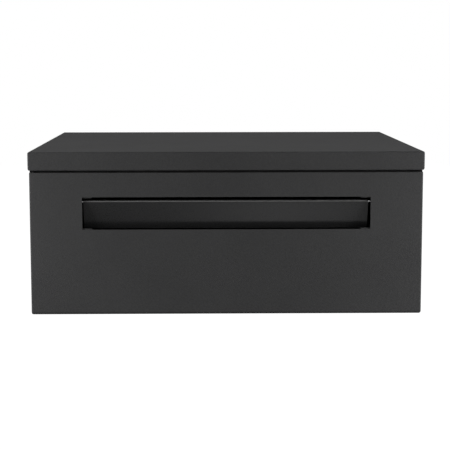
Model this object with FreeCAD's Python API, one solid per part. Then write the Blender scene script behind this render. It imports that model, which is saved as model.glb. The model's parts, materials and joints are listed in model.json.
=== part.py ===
import FreeCAD, Part
import math
import os

# Wall mounted mailbox of folded sheet steel.
# Millimetres. +Z is up, the front faces -Y and the wall plane is Y = 0.
# The origin is the centre of the four wall holes, on the wall plane.

# ---- driving dimensions ----------------------------------------------------

# housing
body_width = 440.0
body_depth = 380.0
body_height = 161.0
shell_sheet = 1.2
corner_bend = 2.0
bottom_bend = 4.0
rim_bend = 1.3
rim_flange = 10.0
bottom_flange = 14.0

# back panel and its wall holes
back_sheet = 1.5
back_flange = 12.0
back_flange_gap = 1.0
back_corner_gap = 0.2
wall_hole_spacing_x = 320.0
wall_hole_spacing_z = 90.0
wall_hole_diameter = 6.5

# bottom tray
tray_sheet = 1.2
tray_rim = 10.0
tray_bend = 3.4
tray_gap = 0.15
drain_diameter = 8.0
drain_inset = 40.0

# lid
lid_sheet = 1.0
lid_height = 20.8
lid_overhang = 1.3
lid_gap = 2.0
lid_bend = 2.0
lid_flange = 10.0

# weather seal on the rim
seal_width = 4.5
seal_inset = 1.6
seal_gap = 0.3

# letter slot
slot_width = 323.0
slot_height = 36.6
slot_below_rim = 27.8
slot_corner = 0.8

# slot flap, its rod and the rod brackets
flap_width = 319.0
flap_side_shift = 0.7
flap_sheet = 1.0
flap_bend = 1.6
flap_reach = 4.5
flap_rod_below_slot_top = 5.7
flap_bottom_gap = 0.3
flap_rest_tilt = 16.3
flap_stop_gap = 0.3
rod_diameter = 3.0
rod_fit = 0.05
thread_fit = 0.01
bracket_sheet = 1.2
bracket_stop_width = 11.0
bracket_stop_height = 1.1
bracket_column = 15.0
bracket_overlap = 8.0
ear_offset = 2.0
ear_wall = 4.45
clip_ring = 2.5
clip_thickness = 1.0
clip_gap = 0.3

# continuous hinge along the rear top edge
hinge_end_inset = 10.0
hinge_knuckles = 11
knuckle_gap = 0.4
hinge_pin_diameter = 3.0
hinge_fit = 0.05
hinge_sheet = 1.0
hinge_lift = 0.3
hinge_leaf_width = 20.0
hinge_notch_gap = 0.8
lid_rear_cover = 0.8
riser_gap = 0.8

# cam lock in the right-hand side wall
lock_from_front = 62.0
lock_below_rim = 40.0
lock_body_diameter = 19.0
lock_flats = 16.0
lock_length = 18.0
lock_hole_gap = 0.1
lock_head_overlap = 2.0
lock_head_height = 3.0
lock_gasket_thickness = 0.8
lock_gasket_inset = 0.5
lock_washer_overlap = 2.5
lock_washer_thickness = 0.8
lock_nut_wall = 2.5
lock_nut_height = 5.0
nut_corner_share = 1.12
plug_diameter = 12.0
plug_fit = 0.05
plug_proud = 0.4
key_slot_height = 7.0
key_slot_width = 1.4
key_slot_depth = 9.0
tail_diameter = 8.0
tail_flats = 6.4
tail_fit = 0.05
cam_length = 30.0
cam_width = 14.0
cam_sheet = 2.0
cam_round_share = 0.98
cam_tip_bend = 2.0
cam_gap = 0.4
cam_washer_diameter = 9.0
cam_washer_thickness = 0.8
cam_screw_diameter = 4.0
cam_screw_length = 7.0
cam_screw_head = 7.0
cam_screw_head_height = 2.4
cross_length = 4.0
cross_width = 1.0

# catch that hangs from the lid and passes under the cam
catch_sheet = 1.2
catch_bend = 1.8
catch_behind_cam_gap = 3.0
catch_barrel_gap = 3.5
catch_top_width = 16.0
catch_lip_width = 7.2
catch_lip_gap = 2.0
stud_diameter = 4.0
stud_length = 8.0
stud_fit = 0.2
stud_spacing = 9.0
catch_nut_flats = 7.0
catch_nut_height = 3.2

# ---- places worked out from the sizes --------------------------------------

half_width = body_width / 2
front = -body_depth
floor = -body_height / 2
rim = body_height / 2
inner_half = half_width - shell_sheet
panel_inside = front + shell_sheet

lid_low = rim + lid_gap
lid_top = lid_low + lid_height
lid_half = half_width + lid_overhang
lid_front = front - lid_overhang

rod_radius = rod_diameter / 2
curl_bore = rod_radius + rod_fit
curl_radius = curl_bore + flap_sheet
ear_margin = curl_bore + ear_wall
slot_top = rim - slot_below_rim
slot_low = slot_top - slot_height
rod_z = slot_top - flap_rod_below_slot_top
flap_length = rod_z - slot_low - flap_bottom_gap
stop_face = panel_inside + bracket_sheet
rod_y = stop_face + flap_stop_gap + flap_reach
ear_inside = slot_width / 2 + ear_offset
ear_outside = ear_inside + bracket_sheet

hinge_length = body_width - 2 * hinge_end_inset
pin_radius = hinge_pin_diameter / 2
knuckle_bore = pin_radius + hinge_fit
knuckle_radius = knuckle_bore + hinge_sheet
leaf_face = knuckle_radius + hinge_lift
hinge_y = -back_sheet - leaf_face
hinge_z = lid_top - lid_sheet - leaf_face
riser_top = hinge_z - lid_rear_cover - riser_gap

lock_y = front + lock_from_front
lock_radius = lock_body_diameter / 2
lock_head_radius = lock_radius + lock_head_overlap
lock_z = rim - lock_below_rim
barrel_end = half_width - lock_length
cam_high = barrel_end - cam_gap
cam_low = cam_high - cam_sheet
catch_low_x = cam_high + catch_behind_cam_gap
catch_high_x = catch_low_x + catch_sheet
lip_top = lock_z - cam_width / 2 - catch_lip_gap

# ---- shape helpers ---------------------------------------------------------

# two edges or faces nearer than this are at the same place
same_place = 0.001

AXES = {
    "X": FreeCAD.Vector(1, 0, 0),
    "Y": FreeCAD.Vector(0, 1, 0),
    "Z": FreeCAD.Vector(0, 0, 1),
}


def place(normal, u, v, along=0.0):
    """Point at (u, v) on the plane square to `normal`, `along` it."""
    if normal == "X":
        return FreeCAD.Vector(along, u, v)
    if normal == "Y":
        return FreeCAD.Vector(u, along, v)
    return FreeCAD.Vector(u, v, along)


def box(x1, x2, y1, y2, z1, z2):
    corner = FreeCAD.Vector(x1, y1, z1)
    return Part.makeBox(x2 - x1, y2 - y1, z2 - z1, corner)


def rod(normal, u, v, radius, start, end):
    """Cylinder along `normal` through (u, v), from `start` to `end`."""
    return Part.makeCylinder(radius, end - start, place(normal, u, v, start), AXES[normal])


def tube(normal, u, v, outer, inner, start, end):
    return rod(normal, u, v, outer, start, end).cut(rod(normal, u, v, inner, start - 1, end + 1))


def prism(normal, corners, start, end):
    """Extrude an outline. Each corner is (u, v) or (u, v, bend radius)."""
    points = [FreeCAD.Vector(c[0], c[1], 0) for c in corners]
    radii = [c[2] if len(c) > 2 else 0.0 for c in corners]
    count = len(points)
    stops = []
    for i in range(count):
        to_last = (points[i - 1] - points[i]).normalize()
        to_next = (points[(i + 1) % count] - points[i]).normalize()
        if radii[i] == 0:
            stops.append((points[i], None, points[i]))
            continue
        half_angle = to_last.getAngle(to_next) / 2
        setback = radii[i] / math.tan(half_angle)
        bisector = (to_last + to_next).normalize()
        middle = points[i] + bisector * (radii[i] / math.sin(half_angle) - radii[i])
        stops.append((points[i] + to_last * setback, middle, points[i] + to_next * setback))
    edges = []
    for i in range(count):
        first, middle, last = [
            p if p is None else place(normal, p.x, p.y, start) for p in stops[i]
        ]
        following = stops[(i + 1) % count][0]
        following = place(normal, following.x, following.y, start)
        if middle is not None:
            edges.append(Part.Arc(first, middle, last).toShape())
        if (following - last).Length > 1e-6:
            edges.append(Part.LineSegment(last, following).toShape())
    face = Part.Face(Part.Wire(edges))
    return face.extrude(AXES[normal] * (end - start))


def hexagon(normal, u, v, flats, start, end):
    reach = flats / math.sqrt(3)
    corners = []
    for i in range(6):
        angle = math.radians(60 * i)
        corners.append((u + reach * math.cos(angle), v + reach * math.sin(angle)))
    return prism(normal, corners, start, end)


def fuse(shapes):
    joined = shapes[0]
    for shape in shapes[1:]:
        joined = joined.fuse(shape)
    return joined.removeSplitter()


def bend_edges(shape, radius, chosen):
    """Bend the edges whose bounding box `chosen` picks. A radius of 0 leaves them square."""
    if radius == 0:
        return shape
    return shape.makeFillet(radius, [e for e in shape.Edges if chosen(e.BoundBox)])


def folded_box(half, y_front, y_back, z_low, z_high, corner, low, high, closed_back=False):
    """Box whose upright, bottom and top folds each have a bend of their own.

    The folds run into each other in a rounded corner, as in sheet whose
    corners are welded and dressed. The back edges stay square unless the
    box has a folded back wall too.
    """
    def folded(bounds):
        return closed_back or bounds.YMin < y_back - same_place

    shape = box(-half, half, y_front, y_back, z_low, z_high)
    shape = bend_edges(shape, corner, lambda b: b.XLength + b.YLength < same_place and folded(b))
    shape = bend_edges(shape, high, lambda b: b.ZMin > z_high - same_place and folded(b))
    return bend_edges(shape, low, lambda b: b.ZMax < z_low + same_place and folded(b))


def folded_shell(half, y_front, y_back, z_low, z_high, corner, low, high):
    """Solid whose front turns under with the bend `low` and whose sides turn in with `corner`."""
    shape = prism("X", [
        (y_front, z_low, low), (y_back, z_low), (y_back, z_high), (y_front, z_high),
    ], -half, half)

    def side_fold(bounds):
        across = bounds.XLength > same_place
        behind = bounds.YMin > y_back - same_place
        above = bounds.ZMin > z_high - same_place
        return not (across or behind or above)

    def rim_fold(bounds):
        return bounds.ZMin > z_high - same_place and bounds.YMin < y_back - same_place

    return bend_edges(bend_edges(shape, corner, side_fold), high, rim_fold)


def mirrored(shape):
    """The same piece on the other side of the middle plane X = 0."""
    return shape.mirror(FreeCAD.Vector(0, 0, 0), AXES["X"])


def save(name, shapes):
    """Write one node: a solid, or a group of identical solids."""
    if not isinstance(shapes, list):
        shapes = [shapes]
    solids = []
    for shape in shapes:
        solids.extend(shape.Solids)
    result = solids[0] if len(solids) == 1 else Part.makeCompound(solids)
    result.exportStep("parts/" + name + ".step")
    print(name, len(solids), "solids", round(result.Volume), "mm3")


# ---- housing ---------------------------------------------------------------

def body_shell():
    """Front and both sides, folded from one sheet, with inward flanges."""
    past = 5.0
    outer = folded_shell(half_width, front, 0, floor, rim, corner_bend, bottom_bend, rim_bend)
    inner = folded_shell(
        inner_half, panel_inside, past, floor + shell_sheet, rim - shell_sheet,
        corner_bend - shell_sheet, bottom_bend - shell_sheet, rim_bend / 4)
    shell = outer.cut(inner)
    mouth = half_width - rim_flange
    shell = shell.cut(box(-mouth, mouth, front + rim_flange, past, rim - past, rim + past))
    base = half_width - bottom_flange
    shell = shell.cut(box(-base, base, front + bottom_flange, past, floor - past, floor + past))
    shell = shell.cut(box(-inner_half, inner_half, -back_sheet, past, rim - past, rim + past))
    slot = prism("Y", [
        (-slot_width / 2, slot_low, slot_corner), (slot_width / 2, slot_low, slot_corner),
        (slot_width / 2, slot_top, slot_corner), (-slot_width / 2, slot_top, slot_corner),
    ], front - past, front + past)
    shell = shell.cut(slot)
    return shell.cut(lock_section(lock_hole_gap, inner_half - past, half_width + past))


def back_panel():
    """Back plate with forward side flanges, rising behind the lid to the hinge."""
    low = floor + shell_sheet
    low_corner = corner_bend - shell_sheet + back_corner_gap
    plate = prism("Y", [
        (-inner_half, low, low_corner), (inner_half, low, low_corner),
        (inner_half, riser_top), (-inner_half, riser_top),
    ], -back_sheet, 0)
    flange_low = low + tray_sheet + tray_rim + back_flange_gap
    flange = box(
        inner_half - back_sheet, inner_half, -back_sheet - back_flange, -back_sheet,
        flange_low, rim - shell_sheet - back_flange_gap)
    panel = fuse([plate, flange, mirrored(flange)])
    for x in (-wall_hole_spacing_x / 2, wall_hole_spacing_x / 2):
        for z in (-wall_hole_spacing_z / 2, wall_hole_spacing_z / 2):
            panel = panel.cut(rod("Y", x, z, wall_hole_diameter / 2, -2 * back_sheet, back_sheet))
    return panel


def bottom_tray():
    """Shallow tray that lies on the shell's bottom flanges, with drain holes."""
    low = floor + shell_sheet
    half = inner_half - tray_gap
    y_front = panel_inside + tray_gap
    y_back = -back_sheet
    high = low + tray_sheet + tray_rim
    outer = folded_box(half, y_front, y_back, low, high, corner_bend, tray_bend, 0, True)
    inner = folded_box(
        half - tray_sheet, y_front + tray_sheet, y_back - tray_sheet, low + tray_sheet,
        high + tray_sheet, corner_bend - tray_sheet, tray_bend - tray_sheet, 0, True)
    tray = outer.cut(inner)
    for x in (-half + drain_inset, half - drain_inset):
        for y in (y_front + drain_inset, y_back - drain_inset):
            tray = tray.cut(rod("Z", x, y, drain_diameter / 2, low - 1, low + 2 * tray_sheet))
    return tray


def rim_seal():
    """Rubber strip on the front and side rim flanges, under the lid."""
    outer = half_width - seal_inset
    inner = outer - seal_width
    y_front = front + seal_inset
    y_back = -back_sheet - hinge_leaf_width / 4
    top = lid_low - seal_gap
    strip = box(-outer, outer, y_front, y_back, rim, top)
    return strip.cut(box(-inner, inner, y_front + seal_width, 0, rim - 1, top + 1))


# ---- letter slot -----------------------------------------------------------

def slot_bracket():
    """Right-hand bracket behind the slot: rod ear, and stops for the flap."""
    slot_end = slot_width / 2
    inside = slot_end - bracket_stop_width
    outside = slot_end + bracket_column
    plate = box(
        inside, outside, panel_inside, stop_face, slot_low - bracket_overlap,
        slot_top + bracket_overlap)
    window = box(
        inside - 1, slot_end, panel_inside - 1, stop_face + 1,
        slot_low + bracket_stop_height, slot_top - bracket_stop_height)
    ear_end = rod_y + ear_margin
    ear = prism("X", [
        (panel_inside, rod_z - ear_margin), (ear_end, rod_z - ear_margin, ear_margin / 2),
        (ear_end, rod_z + ear_margin, ear_margin / 2), (panel_inside, rod_z + ear_margin),
    ], ear_inside, ear_outside)
    hole = rod("X", rod_y, rod_z, curl_bore, ear_inside - 1, ear_outside + 1)
    return fuse([plate.cut(window), ear]).cut(hole)


def flap_rod():
    reach = ear_outside + clip_gap + 2 * clip_thickness
    return rod("X", rod_y, rod_z, rod_radius, -reach, reach)


def rod_clips():
    start = ear_outside + clip_gap
    clip = tube(
        "X", rod_y, rod_z, rod_radius + clip_ring, rod_radius + thread_fit,
        start, start + clip_thickness)
    return [clip, mirrored(clip)]


def slot_flap():
    """Flap plate with its top edge turned back and curled round the rod."""
    left = -flap_width / 2 - flap_side_shift
    right = flap_width / 2 - flap_side_shift
    face = -flap_reach
    plate = prism("X", [
        (face, -flap_length), (face + flap_sheet, -flap_length),
        (face + flap_sheet, curl_bore, flap_bend - flap_sheet), (0, curl_bore),
        (0, curl_radius), (face, curl_radius, flap_bend),
    ], left, right)
    curl = tube("X", 0, 0, curl_radius, curl_bore, left, right)
    seam = box(left - 1, right + 1, -2 * curl_radius, 0, -flap_sheet / 2, 2 * curl_radius)
    flap = fuse([plate, curl.cut(seam)])
    flap.rotate(FreeCAD.Vector(0, 0, 0), AXES["X"], flap_rest_tilt)
    flap.translate(FreeCAD.Vector(0, rod_y, rod_z))
    return flap


# ---- lid and hinge ---------------------------------------------------------

def lid_shell():
    """Pan lid: top, front and side walls, with an inward flange at the bottom."""
    past = 5.0
    rear = hinge_y + lid_rear_cover
    outer = folded_box(lid_half, lid_front, rear, lid_low, lid_top, lid_bend, lid_bend, lid_bend)
    inner_bend = lid_bend - lid_sheet
    inner = folded_box(
        lid_half - lid_sheet, lid_front + lid_sheet, rear + past, lid_low + lid_sheet,
        lid_top - lid_sheet, inner_bend, inner_bend, inner_bend)
    mouth = lid_half - lid_flange
    lid = outer.cut(inner)
    return lid.cut(box(-mouth, mouth, lid_front + lid_flange, past, lid_low - 1, lid_low + past))


def hinge_knuckle_spans(first):
    """Start and end of every second knuckle along the hinge."""
    pitch = hinge_length / hinge_knuckles
    spans = []
    for i in range(first, hinge_knuckles, 2):
        start = -hinge_length / 2 + i * pitch
        spans.append((start + knuckle_gap / 2, start + pitch - knuckle_gap / 2))
    return spans


def hinge_leaf(first):
    """Leaf lying forward of the pin, curled down round it, at the origin."""
    half = hinge_length / 2
    notch = -knuckle_radius - hinge_notch_gap
    pieces = [box(-half, half, -hinge_leaf_width, notch, leaf_face - hinge_sheet, leaf_face)]
    for start, end in hinge_knuckle_spans(first):
        pieces.append(box(start, end, notch, 0, leaf_face - hinge_sheet, leaf_face))
        pieces.append(rod("X", 0, 0, knuckle_radius, start, end))
    leaf = fuse(pieces)
    return leaf.cut(rod("X", 0, 0, knuckle_bore, -half - 1, half + 1))


def hinge_lid_leaf():
    leaf = hinge_leaf(1)
    leaf.translate(FreeCAD.Vector(0, hinge_y, hinge_z))
    return leaf


def hinge_body_leaf():
    """The same leaf turned down against the back panel."""
    leaf = hinge_leaf(0)
    leaf = leaf.mirror(FreeCAD.Vector(0, 0, 0), AXES["Z"])
    leaf.rotate(FreeCAD.Vector(0, 0, 0), AXES["X"], 90)
    leaf.translate(FreeCAD.Vector(0, hinge_y, hinge_z))
    return leaf


def hinge_pin():
    return rod("X", hinge_y, hinge_z, pin_radius, -hinge_length / 2, hinge_length / 2)


# ---- cam lock --------------------------------------------------------------

def lock_section(gap, start, end):
    """Round lock body with two flats, grown by `gap`, along X."""
    section = rod("X", lock_y, lock_z, lock_radius + gap, start, end)
    flat = lock_flats / 2 + gap
    reach = lock_body_diameter
    return section.common(box(start, end, lock_y - reach, lock_y + reach, lock_z - flat, lock_z + flat))


def lock_barrel():
    head_low = half_width + lock_gasket_thickness
    head_high = head_low + lock_head_height
    head = rod("X", lock_y, lock_z, lock_head_radius, head_low, head_high)
    rim_edges = [
        e for e in head.Edges
        if abs(e.BoundBox.XMin - head_high) < 1e-6 and abs(e.BoundBox.XMax - head_high) < 1e-6
    ]
    head = head.makeFillet(lock_head_height / 3, rim_edges)
    barrel = fuse([head, lock_section(0, barrel_end, head_low)])
    return barrel.cut(rod("X", lock_y, lock_z, plug_diameter / 2 + plug_fit, barrel_end - 1, head_high + 1))


def lock_gasket():
    return tube(
        "X", lock_y, lock_z, lock_head_radius - lock_gasket_inset, lock_radius + lock_hole_gap,
        half_width, half_width + lock_gasket_thickness)


def lock_washer():
    high = inner_half
    ring = rod("X", lock_y, lock_z, lock_radius + lock_washer_overlap, high - lock_washer_thickness, high)
    return ring.cut(lock_section(lock_hole_gap, high - 2, high + 1))


def lock_nut():
    high = inner_half - lock_washer_thickness
    low = high - lock_nut_height
    flats = lock_body_diameter + 2 * lock_nut_wall
    nut = hexagon("X", lock_y, lock_z, flats, low, high)
    eased_corners = rod("X", lock_y, lock_z, flats * nut_corner_share / 2, low, high)
    bore = rod("X", lock_y, lock_z, lock_radius + lock_hole_gap, low - 1, high + 1)
    return nut.common(eased_corners).cut(bore)


def tail_section(gap, start, end):
    """Two-flat tail of the plug that drives the cam, along X."""
    section = rod("X", lock_y, lock_z, tail_diameter / 2 + gap, start, end)
    flat = tail_flats / 2 + gap
    reach = tail_diameter
    return section.common(box(start, end, lock_y - flat, lock_y + flat, lock_z - reach, lock_z + reach))


def lock_plug():
    """Turning core of the lock, with the key slot upright when unlocked."""
    face = half_width + lock_gasket_thickness + lock_head_height + plug_proud
    core = rod("X", lock_y, lock_z, plug_diameter / 2, barrel_end, face)
    tail = tail_section(0, cam_low, barrel_end)
    slot = box(
        face - key_slot_depth, face + 1, lock_y - key_slot_width / 2, lock_y + key_slot_width / 2,
        lock_z - key_slot_height / 2, lock_z + key_slot_height / 2)
    thread = rod("X", lock_y, lock_z, cam_screw_diameter / 2, cam_low - 1, cam_low + cam_screw_length)
    return fuse([core, tail]).cut(slot).cut(thread)


def lock_cam():
    """Flat cam, pointing up when unlocked."""
    half = cam_width / 2
    heel = half * cam_round_share
    blade = prism("X", [
        (lock_y - half, lock_z - half, heel), (lock_y + half, lock_z - half, heel),
        (lock_y + half, lock_z + cam_length, cam_tip_bend),
        (lock_y - half, lock_z + cam_length, cam_tip_bend),
    ], cam_low, cam_high)
    return blade.cut(tail_section(tail_fit, cam_low - 1, cam_high + 1))


def cam_washer():
    return tube(
        "X", lock_y, lock_z, cam_washer_diameter / 2, cam_screw_diameter / 2 + stud_fit,
        cam_low - cam_washer_thickness, cam_low)


def cam_screw():
    high = cam_low - cam_washer_thickness
    low = high - cam_screw_head_height
    head = rod("X", lock_y, lock_z, cam_screw_head / 2, low, high)
    shank = rod("X", lock_y, lock_z, cam_screw_diameter / 2, high, cam_low + cam_screw_length)
    deep = low + cam_screw_head_height / 2
    long = cross_length / 2
    thin = cross_width / 2
    cross = fuse([
        box(low - 1, deep, lock_y - thin, lock_y + thin, lock_z - long, lock_z + long),
        box(low - 1, deep, lock_y - long, lock_y + long, lock_z - thin, lock_z + thin),
    ])
    return fuse([head, shank]).cut(cross)


# ---- lid catch -------------------------------------------------------------

catch_back_y = lock_y - lock_radius - catch_barrel_gap
catch_front_y = lock_y - cam_length
stud_x = catch_high_x - catch_top_width / 2 - catch_sheet
stud_ys = [
    (catch_front_y + catch_back_y) / 2 + side * stud_spacing / 2 for side in (-1, 1)
]


def lid_catch():
    """Folded bracket under the lid: top flange, long leg, and lip below the cam."""
    high = lid_top - lid_sheet
    sheet = catch_sheet
    inner_bend = catch_bend - sheet
    left = catch_high_x - catch_top_width
    lip_left = catch_high_x - catch_lip_width
    bracket = prism("Y", [
        (left, high), (left, high - sheet),
        (catch_low_x, high - sheet, inner_bend), (catch_low_x, lip_top, inner_bend),
        (lip_left, lip_top), (lip_left, lip_top - sheet),
        (catch_high_x, lip_top - sheet, catch_bend), (catch_high_x, high, catch_bend),
    ], catch_front_y, catch_back_y)
    for y in stud_ys:
        bracket = bracket.cut(rod("Z", stud_x, y, stud_diameter / 2 + stud_fit, high - 3, high + 1))
    return bracket


def catch_studs():
    high = lid_top - lid_sheet
    return [rod("Z", stud_x, y, stud_diameter / 2, high - stud_length, high) for y in stud_ys]


def catch_nuts():
    high = lid_top - lid_sheet - catch_sheet
    nuts = []
    for y in stud_ys:
        nut = hexagon("Z", stud_x, y, catch_nut_flats, high - catch_nut_height, high)
        nuts.append(nut.cut(rod("Z", stud_x, y, stud_diameter / 2 + thread_fit, high - 5, high + 1)))
    return nuts


# ---- write every node ------------------------------------------------------

os.makedirs("parts", exist_ok=True)
bracket_right = slot_bracket()
save("body_shell", body_shell())
save("back_panel", back_panel())
save("bottom_tray", bottom_tray())
save("rim_seal", rim_seal())
save("slot_bracket_right", bracket_right)
save("slot_bracket_left", mirrored(bracket_right))
save("flap_rod", flap_rod())
save("rod_clips", rod_clips())
save("slot_flap", slot_flap())
save("lid_shell", lid_shell())
save("hinge_lid_leaf", hinge_lid_leaf())
save("hinge_body_leaf", hinge_body_leaf())
save("hinge_pin", hinge_pin())
save("lock_barrel", lock_barrel())
save("lock_gasket", lock_gasket())
save("lock_washer", lock_washer())
save("lock_nut", lock_nut())
save("lock_plug", lock_plug())
save("lock_cam", lock_cam())
save("cam_washer", cam_washer())
save("cam_screw", cam_screw())
save("lid_catch", lid_catch())
save("catch_studs", catch_studs())
save("catch_nuts", catch_nuts())
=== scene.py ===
# %% [markdown]
# # A wall mounted mailbox of folded sheet steel
#
# The real mailbox is a wide, low box. One folded sheet makes its front and sides, a second one is
# the pan lid, and a flap on a rod closes the letter slot. Everything you see is sheet steel about
# a millimetre thick with a fine, dark powder coat.
#
# The engineering model gives every piece its size and its place. This lesson keeps those sizes
# and gives the pieces what a technical model leaves out: eased edges, rolled hinge knuckles,
# threads, teeth and surfaces that catch the light as paint, zinc and rubber do.

# %% Load the engineering model
import json
import math

import bmesh
import bpy
from mathutils import Matrix, Vector

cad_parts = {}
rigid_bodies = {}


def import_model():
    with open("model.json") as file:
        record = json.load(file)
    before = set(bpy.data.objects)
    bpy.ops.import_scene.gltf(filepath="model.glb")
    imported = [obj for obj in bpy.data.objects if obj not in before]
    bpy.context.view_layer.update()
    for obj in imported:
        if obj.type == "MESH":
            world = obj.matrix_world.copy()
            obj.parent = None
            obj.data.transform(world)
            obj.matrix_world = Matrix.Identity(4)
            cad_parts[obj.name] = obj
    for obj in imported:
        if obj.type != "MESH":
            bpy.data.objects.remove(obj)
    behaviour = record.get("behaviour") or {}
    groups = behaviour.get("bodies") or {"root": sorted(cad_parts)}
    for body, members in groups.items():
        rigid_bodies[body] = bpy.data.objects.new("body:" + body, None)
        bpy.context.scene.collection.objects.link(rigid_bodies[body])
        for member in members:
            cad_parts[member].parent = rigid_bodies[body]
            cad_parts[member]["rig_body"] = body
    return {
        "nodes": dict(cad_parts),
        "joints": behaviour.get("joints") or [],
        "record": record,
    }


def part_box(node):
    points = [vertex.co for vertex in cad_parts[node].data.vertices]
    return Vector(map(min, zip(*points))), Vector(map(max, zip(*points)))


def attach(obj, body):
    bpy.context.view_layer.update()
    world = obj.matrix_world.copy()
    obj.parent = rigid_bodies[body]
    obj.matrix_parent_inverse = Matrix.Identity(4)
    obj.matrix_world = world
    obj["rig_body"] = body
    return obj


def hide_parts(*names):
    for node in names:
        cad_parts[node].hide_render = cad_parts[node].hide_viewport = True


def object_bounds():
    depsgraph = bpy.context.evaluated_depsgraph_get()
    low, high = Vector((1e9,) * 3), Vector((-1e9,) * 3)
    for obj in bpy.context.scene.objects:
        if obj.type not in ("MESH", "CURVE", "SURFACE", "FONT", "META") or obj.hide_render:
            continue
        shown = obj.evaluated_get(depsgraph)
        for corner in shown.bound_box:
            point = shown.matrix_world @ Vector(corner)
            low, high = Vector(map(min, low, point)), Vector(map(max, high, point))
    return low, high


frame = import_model()
cad_low, cad_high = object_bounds()
mm = 0.001
print("nodes", len(frame["nodes"]), "size in mm", [round(v / mm, 1) for v in cad_high - cad_low])

# %% [markdown]
# ## The camera
#
# A product like this is shown from straight ahead with a long lens, so that its upright edges
# stay nearly upright. The camera stands well back, a little to the left and above the lid, and
# looks slightly down, which opens the lid's top by a few degrees.

# %% Camera
lens = bpy.data.cameras.new("product_lens")
lens.sensor_width = 36.0
lens.lens = 105.08
camera = bpy.data.objects.new("product_camera", lens)
camera.location = (-23.7 * mm, -1838.7 * mm, 209.8 * mm)
camera.rotation_euler = [math.radians(angle) for angle in (82.631, 0.059, -0.869)]
bpy.context.scene.collection.objects.link(camera)
bpy.context.scene.camera = camera
bpy.context.scene.view_settings.view_transform = "Standard"
print("camera distance in mm", round(camera.location.length / mm))

# %% [markdown]
# ## Two helpers for node trees
#
# The surround, the floor, the finishes and the Geometry Nodes are all graphs of nodes. Blender
# adds a node, sets its fields and fills its sockets in separate calls, which soon hides what a
# graph is for. One helper adds a node with all its values, the other adds a sum with its links.


# %% Node helpers
def put(tree, kind, sockets=(), **settings):
    """Add a node, set its settings and its input values, and return it."""
    node = tree.nodes.new(kind)
    for name, value in settings.items():
        setattr(node, name, value)
    for name, value in dict(sockets).items():
        node.inputs[name].default_value = value
    return node


def maths(tree, operation, *values):
    """A math node. Each value is a number or a socket to link."""
    node = put(tree, "ShaderNodeMath", operation=operation)
    for place, value in enumerate(values):
        if isinstance(value, (int, float)):
            node.inputs[place].default_value = value
        else:
            tree.links.new(value, node.inputs[place])
    return node.outputs[0]


# %% [markdown]
# ## The surround
#
# The world is plain white. At full strength it would light the dark paint evenly from all sides
# and flatten the box. So it shows white only to the camera, in reflections and through glass, and
# lights matt surfaces at a lower level, which leaves the lamps room to shape them.

# %% World
surround_light = 0.40
world = bpy.data.worlds.new("white_surround")
bpy.context.scene.world = world
world.use_nodes = True
sky = world.node_tree
sky.nodes.clear()
rays = put(sky, "ShaderNodeLightPath").outputs
seen = maths(sky, "MAXIMUM", rays["Is Camera Ray"], rays["Is Glossy Ray"])
seen = maths(sky, "MAXIMUM", seen, rays["Is Transmission Ray"])
level = put(sky, "ShaderNodeMapRange", {"To Min": surround_light, "To Max": 1.0})
background = put(sky, "ShaderNodeBackground", {"Color": (1.0, 1.0, 1.0, 1.0)})
output = put(sky, "ShaderNodeOutputWorld")
sky.links.new(seen, level.inputs["Value"])
sky.links.new(level.outputs["Result"], background.inputs["Strength"])
sky.links.new(background.outputs["Background"], output.inputs["Surface"])
print("surround", surround_light)

# %% [markdown]
# ## The lamps
#
# Dark paint shows its form through broad, soft light, so the lamps are large. One soft box
# overhead lights the lid. One to each side in front makes the ends of the front panel a touch
# lighter than its middle. A small box low in front puts a sheen on the satin flap, which leans
# back and looks down, and one behind lifts the rear. The side boxes stand so near that they would
# glare in the satin flap and the lock, so they don't show in gloss.


# %% Soft boxes
def soft_box(name, place, aim, width, height, watts, mirrored=True):
    """A large rectangular lamp at `place` that faces `aim`, and shows in gloss if `mirrored`."""
    light = bpy.data.lights.new(name, "AREA")
    light.shape = "RECTANGLE"
    light.size = width
    light.size_y = height
    light.energy = watts
    lamp = bpy.data.objects.new(name, light)
    lamp.location = place
    facing = Vector(aim) - Vector(place)
    lamp.rotation_euler = facing.to_track_quat("-Z", "Y").to_euler()
    lamp.visible_camera = False
    lamp.visible_glossy = mirrored
    bpy.context.scene.collection.objects.link(lamp)


middle = (cad_low + cad_high) / 2
front = cad_low.y
side_aim = (0.0, front, 0.0)
soft_box("overhead_box", (0.0, front - 0.20, 2.1), middle, 1.8, 1.3, watts=5.9)
for name, x in (("left_box", -0.62), ("right_box", 0.62)):
    soft_box(name, (x, front - 0.16, 0.06), side_aim, 0.24, 0.50, watts=5.7, mirrored=False)
soft_box("low_box", (0.12, front - 0.76, -0.64), (0.10, front, 0.03), 0.26, 0.20, watts=0.36)
soft_box("rear_box", (0.20, 1.30, -0.14), (0.0, 0.0, 0.0), 1.20, 0.30, watts=9.0)
print("lamps", len(bpy.data.lights), "around", [round(part, 3) for part in middle])

# %% [markdown]
# ## The floor
#
# The box hangs on a wall with its underside about a metre up, so the floor lies that far below.
# It is a pale disc with a diffuse finish. Far from the box, where no lamp reaches, it also shows
# a little white of its own to the camera, so that it runs into the surround without an edge.

# %% Floor
floor_height = -1.1
floor_radius = 14.0
circle = bmesh.new()
bmesh.ops.create_circle(circle, cap_ends=True, radius=floor_radius, segments=96)
bmesh.ops.translate(circle, verts=circle.verts, vec=(0.0, 0.0, floor_height))
floor_mesh = bpy.data.meshes.new("studio_floor")
circle.to_mesh(floor_mesh)
circle.free()
floor = bpy.data.objects.new("studio_floor", floor_mesh)
bpy.context.scene.collection.objects.link(floor)
print("floor at", floor_height, "radius", floor_radius)

# %% [markdown]
# The floor's paint adds two shaders: the diffuse one that takes light and shadow, and a glow that
# grows with the distance from the box and that only the camera sees.

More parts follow.
